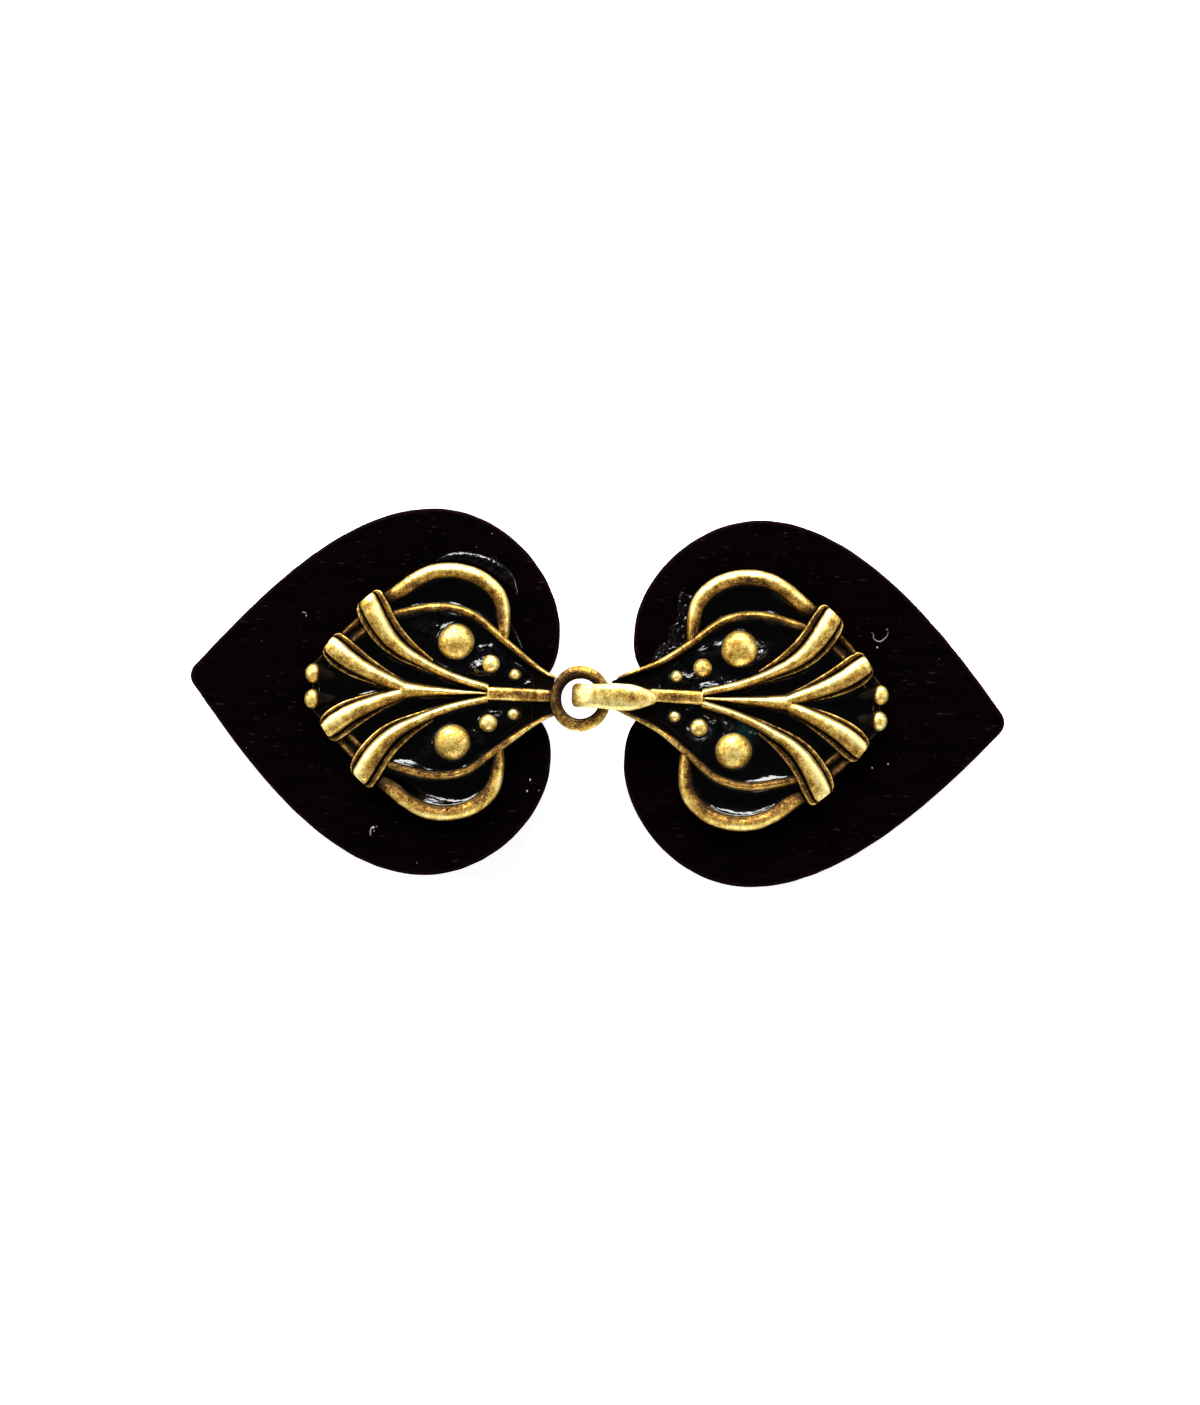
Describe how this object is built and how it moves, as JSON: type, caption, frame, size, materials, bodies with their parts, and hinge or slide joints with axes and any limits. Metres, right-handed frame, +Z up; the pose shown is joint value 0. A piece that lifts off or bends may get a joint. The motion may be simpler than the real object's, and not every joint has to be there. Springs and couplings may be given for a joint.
{
  "type": "hook-and-eye cinch clip",
  "caption": "Cinch clip: heart-shaped leather pads with antique brass fan castings, joined by a hook on a ring, each pad with a garment clip behind it.",
  "frame": {"origin": "on the surface that the clips lie on, under the middle of the whole clasp", "axes": "+X along the clasp from the ring's heart to the hook's heart, +Z up out of the castings' faces"},
  "size_m": [0.0886, 0.0402, 0.0114],
  "materials": {
    "leather": "smooth very dark burgundy-brown leather with a low sheen",
    "glue": "glossy black adhesive",
    "brass": "antique brass, dark in the recesses and rubbed bright on the high places",
    "clip_steel": "plain spring steel"
  },
  "bodies": {
    "eye_half": {"leather_heart_left": "leather", "glue_bed_left": "glue", "eye_casting": "brass", "garment_clip_left": "clip_steel"},
    "hook_half": {"leather_heart_right": "leather", "glue_bed_right": "glue", "hook_casting": "brass", "garment_clip_right": "clip_steel"}
  },
  "joints": [
    {"name": "hook_fold", "type": "hinge", "parent": "eye_half", "child": "hook_half", "pos_m": [0.00085, -0.00015, 0.0089], "axis": [0, 1, 0], "range_deg": [-60, 60]}
  ]
}
